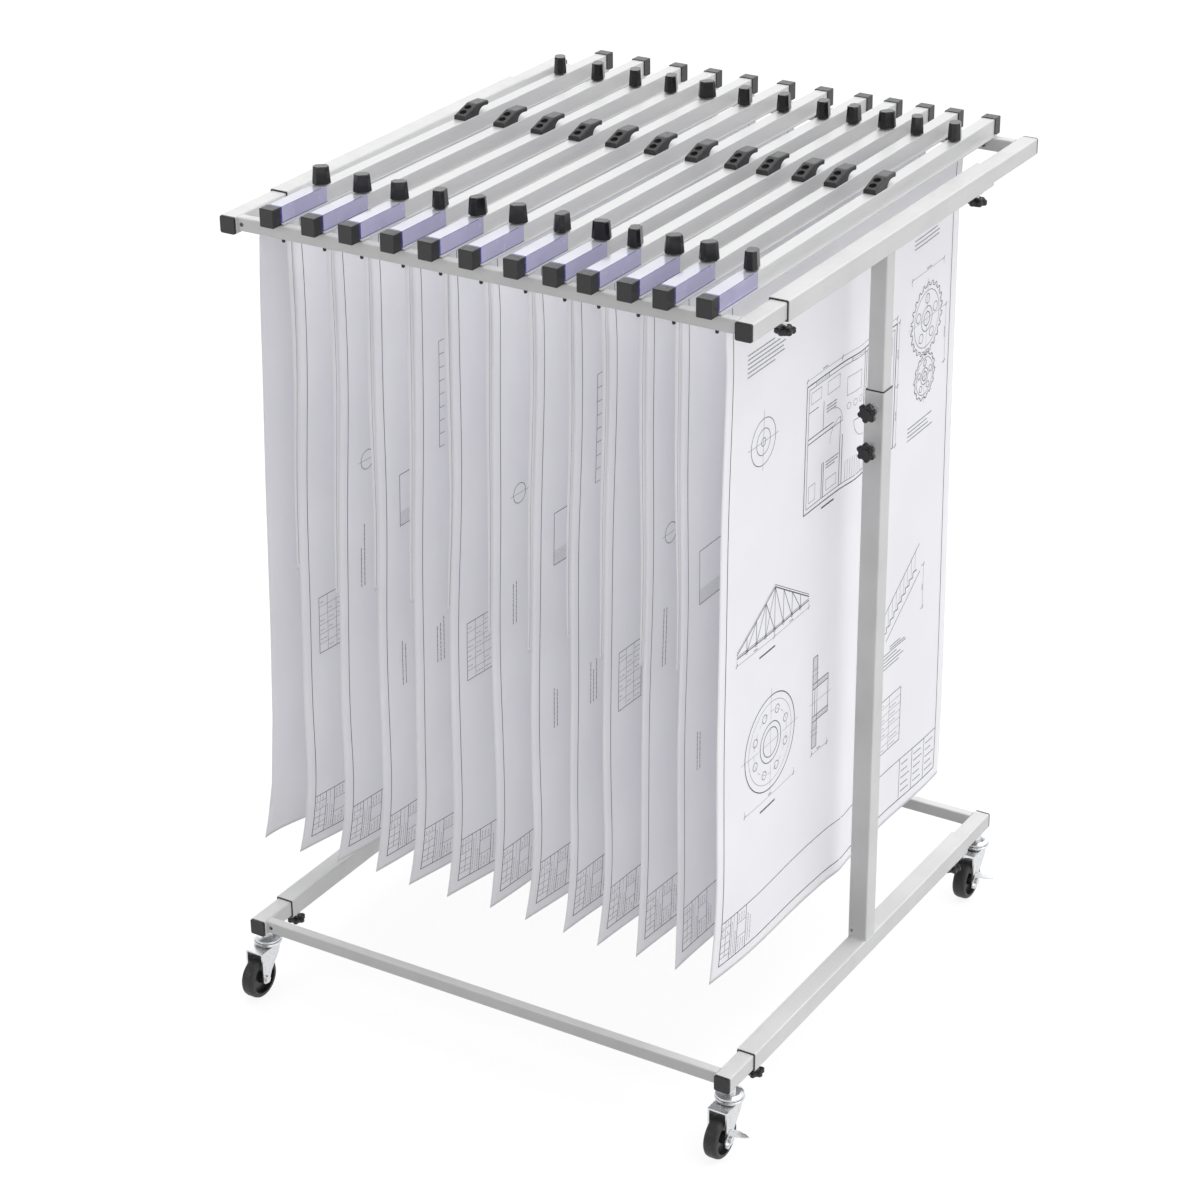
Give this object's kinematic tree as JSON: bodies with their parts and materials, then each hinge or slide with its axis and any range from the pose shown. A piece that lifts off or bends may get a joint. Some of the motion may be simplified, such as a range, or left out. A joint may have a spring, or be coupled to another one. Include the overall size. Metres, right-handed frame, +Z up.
{
  "type": "mobile plan hanging rack",
  "caption": "Mobile plan hanging rack: telescoping square-tube frame on castors, with lift-off clamp bars across two rails, each holding large plan sheets.",
  "frame": {"origin": "on the floor, under the middle of the rack's overall box", "axes": "+Z up, +X to the right seen from the label end, -Y towards the label end"},
  "size_m": [0.8774, 0.9415, 1.2978],
  "materials": {
    "powder_coat": "satin light grey powder coat",
    "clamp_aluminium": "matte anodised",
    "black_plastic": "moulded, fine grain",
    "zinc": "bright zinc plate",
    "castor_wheel": "smooth black tread",
    "paper": "uncoated plan paper"
  },
  "bodies": {
    "lower": {"lower_frame_left": "powder_coat", "lower_frame_right": "powder_coat", "lower_weld_nuts": "zinc"},
    "upper": {"upper_frame_left": "powder_coat", "upper_frame_right": "powder_coat", "upper_weld_nuts": "zinc"},
    "base_front": {"base_front_frame": "powder_coat", "base_front_end_caps": "black_plastic"},
    "top_front": {"top_front_frame": "powder_coat", "top_front_end_caps": "black_plastic"},
    "base_rear": {"base_rear_frame": "powder_coat", "base_rear_end_caps": "black_plastic"},
    "top_rear": {"top_rear_frame": "powder_coat", "top_rear_end_caps": "black_plastic"},
    "castor_fork_front_left": {"castor_fork_front_left": "zinc"},
    "castor_wheel_front_left": {"castor_wheel_front_left": "castor_wheel"},
    "castor_fork_front_right": {"castor_fork_front_right": "zinc"},
    "castor_wheel_front_right": {"castor_wheel_front_right": "castor_wheel"},
    "castor_brake_front_right": {"castor_brake_front_right": "zinc"},
    "castor_fork_rear_left": {"castor_fork_rear_left": "zinc"},
    "castor_wheel_rear_left": {"castor_wheel_rear_left": "castor_wheel"},
    "castor_fork_rear_right": {"castor_fork_rear_right": "zinc"},
    "castor_wheel_rear_right": {"castor_wheel_rear_right": "castor_wheel"},
    "castor_brake_rear_right": {"castor_brake_rear_right": "zinc"},
    "post_knob_left_upper": {"post_knob_left_upper": "black_plastic"},
    "post_knob_left_lower": {"post_knob_left_lower": "black_plastic"},
    "base_knob_front_left": {"base_knob_front_left": "black_plastic"},
    "base_knob_rear_left": {"base_knob_rear_left": "black_plastic"},
    "top_knob_front_left": {"top_knob_front_left": "black_plastic"},
    "top_knob_rear_left": {"top_knob_rear_left": "black_plastic"},
    "post_knob_right_upper": {"post_knob_right_upper": "black_plastic"},
    "post_knob_right_lower": {"post_knob_right_lower": "black_plastic"},
    "base_knob_front_right": {"base_knob_front_right": "black_plastic"},
    "base_knob_rear_right": {"base_knob_rear_right": "black_plastic"},
    "top_knob_front_right": {"top_knob_front_right": "black_plastic"},
    "top_knob_rear_right": {"top_knob_rear_right": "black_plastic"},
    "clamp_01": {"clamp_01": "clamp_aluminium", "plan_sheet_01": "paper"},
    "clamp_02": {"clamp_02": "clamp_aluminium", "plan_sheet_02": "paper"},
    "clamp_03": {"clamp_03": "clamp_aluminium", "plan_sheet_03": "paper"},
    "clamp_04": {"clamp_04": "clamp_aluminium", "plan_sheet_04": "paper"},
    "clamp_05": {"clamp_05": "clamp_aluminium", "plan_sheet_05": "paper"},
    "clamp_06": {"clamp_06": "clamp_aluminium", "plan_sheet_06": "paper"},
    "clamp_07": {"clamp_07": "clamp_aluminium", "plan_sheet_07": "paper"},
    "clamp_08": {"clamp_08": "clamp_aluminium", "plan_sheet_08": "paper"},
    "clamp_09": {"clamp_09": "clamp_aluminium", "plan_sheet_09": "paper"},
    "clamp_10": {"clamp_10": "clamp_aluminium", "plan_sheet_10": "paper"},
    "clamp_11": {"clamp_11": "clamp_aluminium", "plan_sheet_11": "paper"},
    "clamp_12": {"clamp_12": "clamp_aluminium", "plan_sheet_12": "paper"}
  },
  "joints": [
    {"name": "height_slide", "type": "slide", "parent": "lower", "child": "upper", "axis": [0, 0, 1], "range_m": [-0.06, 0.25]},
    {"name": "base_front_slide", "type": "slide", "parent": "lower", "child": "base_front", "axis": [0, -1, 0], "range_m": [-0.015, 0.075]},
    {"name": "base_rear_slide", "type": "slide", "parent": "lower", "child": "base_rear", "axis": [0, 1, 0], "range_m": [-0.015, 0.075]},
    {"name": "top_front_slide", "type": "slide", "parent": "upper", "child": "top_front", "axis": [0, -1, 0], "range_m": [-0.06, 0.07]},
    {"name": "top_rear_slide", "type": "slide", "parent": "upper", "child": "top_rear", "axis": [0, -1, 0], "range_m": [-0.06, 0.07]},
    {"name": "castor_swivel_front_left", "type": "hinge", "parent": "base_front", "child": "castor_fork_front_left", "pos_m": [-0.41675, -0.41025, 0.08], "axis": [0, 0, 1], "continuous": true},
    {"name": "castor_roll_front_left", "type": "hinge", "parent": "castor_fork_front_left", "child": "castor_wheel_front_left", "pos_m": [-0.41675, -0.43825, 0.0325], "axis": [1, 0, 0], "continuous": true},
    {"name": "castor_swivel_front_right", "type": "hinge", "parent": "base_front", "child": "castor_fork_front_right", "pos_m": [0.39325, -0.41025, 0.08], "axis": [0, 0, 1], "continuous": true},
    {"name": "castor_roll_front_right", "type": "hinge", "parent": "castor_fork_front_right", "child": "castor_wheel_front_right", "pos_m": [0.39325, -0.43825, 0.0325], "axis": [1, 0, 0], "continuous": true},
    {"name": "castor_brake_front_right", "type": "hinge", "parent": "castor_fork_front_right", "child": "castor_brake_front_right", "pos_m": [0.39325, -0.43825, 0.0325], "axis": [1, 0, 0], "range_deg": [0, 28]},
    {"name": "castor_swivel_rear_left", "type": "hinge", "parent": "base_rear", "child": "castor_fork_rear_left", "pos_m": [-0.41675, 0.39975, 0.08], "axis": [0, 0, 1], "continuous": true},
    {"name": "castor_roll_rear_left", "type": "hinge", "parent": "castor_fork_rear_left", "child": "castor_wheel_rear_left", "pos_m": [-0.41675, 0.37175, 0.0325], "axis": [1, 0, 0], "continuous": true},
    {"name": "castor_swivel_rear_right", "type": "hinge", "parent": "base_rear", "child": "castor_fork_rear_right", "pos_m": [0.39325, 0.39975, 0.08], "axis": [0, 0, 1], "continuous": true},
    {"name": "castor_roll_rear_right", "type": "hinge", "parent": "castor_fork_rear_right", "child": "castor_wheel_rear_right", "pos_m": [0.39325, 0.37175, 0.0325], "axis": [1, 0, 0], "continuous": true},
    {"name": "castor_brake_rear_right", "type": "hinge", "parent": "castor_fork_rear_right", "child": "castor_brake_rear_right", "pos_m": [0.39325, 0.37175, 0.0325], "axis": [1, 0, 0], "range_deg": [0, 28]},
    {"name": "post_knob_left_upper_turn", "type": "hinge", "parent": "lower", "child": "post_knob_left_upper", "pos_m": [-0.41675, -0.02025, 0.993], "axis": [0, -1, 0], "range_deg": [0, 450]},
    {"name": "post_knob_left_lower_turn", "type": "hinge", "parent": "lower", "child": "post_knob_left_lower", "pos_m": [-0.41675, -0.02025, 0.934], "axis": [0, -1, 0], "range_deg": [0, 450]},
    {"name": "base_knob_front_left_turn", "type": "hinge", "parent": "lower", "child": "base_knob_front_left", "pos_m": [-0.41675, -0.33725, 0.102], "axis": [0, 0, -1], "range_deg": [0, 450]},
    {"name": "base_knob_rear_left_turn", "type": "hinge", "parent": "lower", "child": "base_knob_rear_left", "pos_m": [-0.41675, 0.31275, 0.102], "axis": [0, 0, -1], "range_deg": [0, 450]},
    {"name": "top_knob_front_left_turn", "type": "hinge", "parent": "upper", "child": "top_knob_front_left", "pos_m": [-0.41675, -0.25825, 1.218], "axis": [0, 0, -1], "range_deg": [0, 450]},
    {"name": "top_knob_rear_left_turn", "type": "hinge", "parent": "upper", "child": "top_knob_rear_left", "pos_m": [-0.41675, 0.31975, 1.218], "axis": [0, 0, -1], "range_deg": [0, 450]},
    {"name": "post_knob_right_upper_turn", "type": "hinge", "parent": "lower", "child": "post_knob_right_upper", "pos_m": [0.39325, -0.02025, 0.993], "axis": [0, -1, 0], "range_deg": [0, 450]},
    {"name": "post_knob_right_lower_turn", "type": "hinge", "parent": "lower", "child": "post_knob_right_lower", "pos_m": [0.39325, -0.02025, 0.934], "axis": [0, -1, 0], "range_deg": [0, 450]},
    {"name": "base_knob_front_right_turn", "type": "hinge", "parent": "lower", "child": "base_knob_front_right", "pos_m": [0.39325, -0.33725, 0.102], "axis": [0, 0, -1], "range_deg": [0, 450]},
    {"name": "base_knob_rear_right_turn", "type": "hinge", "parent": "lower", "child": "base_knob_rear_right", "pos_m": [0.39325, 0.31275, 0.102], "axis": [0, 0, -1], "range_deg": [0, 450]},
    {"name": "top_knob_front_right_turn", "type": "hinge", "parent": "upper", "child": "top_knob_front_right", "pos_m": [0.39325, -0.28525, 1.218], "axis": [0, 0, -1], "range_deg": [0, 450]},
    {"name": "top_knob_rear_right_turn", "type": "hinge", "parent": "upper", "child": "top_knob_rear_right", "pos_m": [0.39325, 0.29275, 1.218], "axis": [0, 0, -1], "range_deg": [0, 450]},
    {"name": "clamp_lift_01", "type": "slide", "parent": "top_front", "child": "clamp_01", "axis": [0, 0, 1], "range_m": [0, 0.15]},
    {"name": "clamp_lift_02", "type": "slide", "parent": "top_front", "child": "clamp_02", "axis": [0, 0, 1], "range_m": [0, 0.15]},
    {"name": "clamp_lift_03", "type": "slide", "parent": "top_front", "child": "clamp_03", "axis": [0, 0, 1], "range_m": [0, 0.15]},
    {"name": "clamp_lift_04", "type": "slide", "parent": "top_front", "child": "clamp_04", "axis": [0, 0, 1], "range_m": [0, 0.15]},
    {"name": "clamp_lift_05", "type": "slide", "parent": "top_front", "child": "clamp_05", "axis": [0, 0, 1], "range_m": [0, 0.15]},
    {"name": "clamp_lift_06", "type": "slide", "parent": "top_front", "child": "clamp_06", "axis": [0, 0, 1], "range_m": [0, 0.15]},
    {"name": "clamp_lift_07", "type": "slide", "parent": "top_front", "child": "clamp_07", "axis": [0, 0, 1], "range_m": [0, 0.15]},
    {"name": "clamp_lift_08", "type": "slide", "parent": "top_front", "child": "clamp_08", "axis": [0, 0, 1], "range_m": [0, 0.15]},
    {"name": "clamp_lift_09", "type": "slide", "parent": "top_front", "child": "clamp_09", "axis": [0, 0, 1], "range_m": [0, 0.15]},
    {"name": "clamp_lift_10", "type": "slide", "parent": "top_front", "child": "clamp_10", "axis": [0, 0, 1], "range_m": [0, 0.15]},
    {"name": "clamp_lift_11", "type": "slide", "parent": "top_front", "child": "clamp_11", "axis": [0, 0, 1], "range_m": [0, 0.15]},
    {"name": "clamp_lift_12", "type": "slide", "parent": "top_front", "child": "clamp_12", "axis": [0, 0, 1], "range_m": [0, 0.15]}
  ],
  "couplings": [
    {"joint": "top_rear_slide", "follows": "top_front_slide", "ratio": 1}
  ]
}
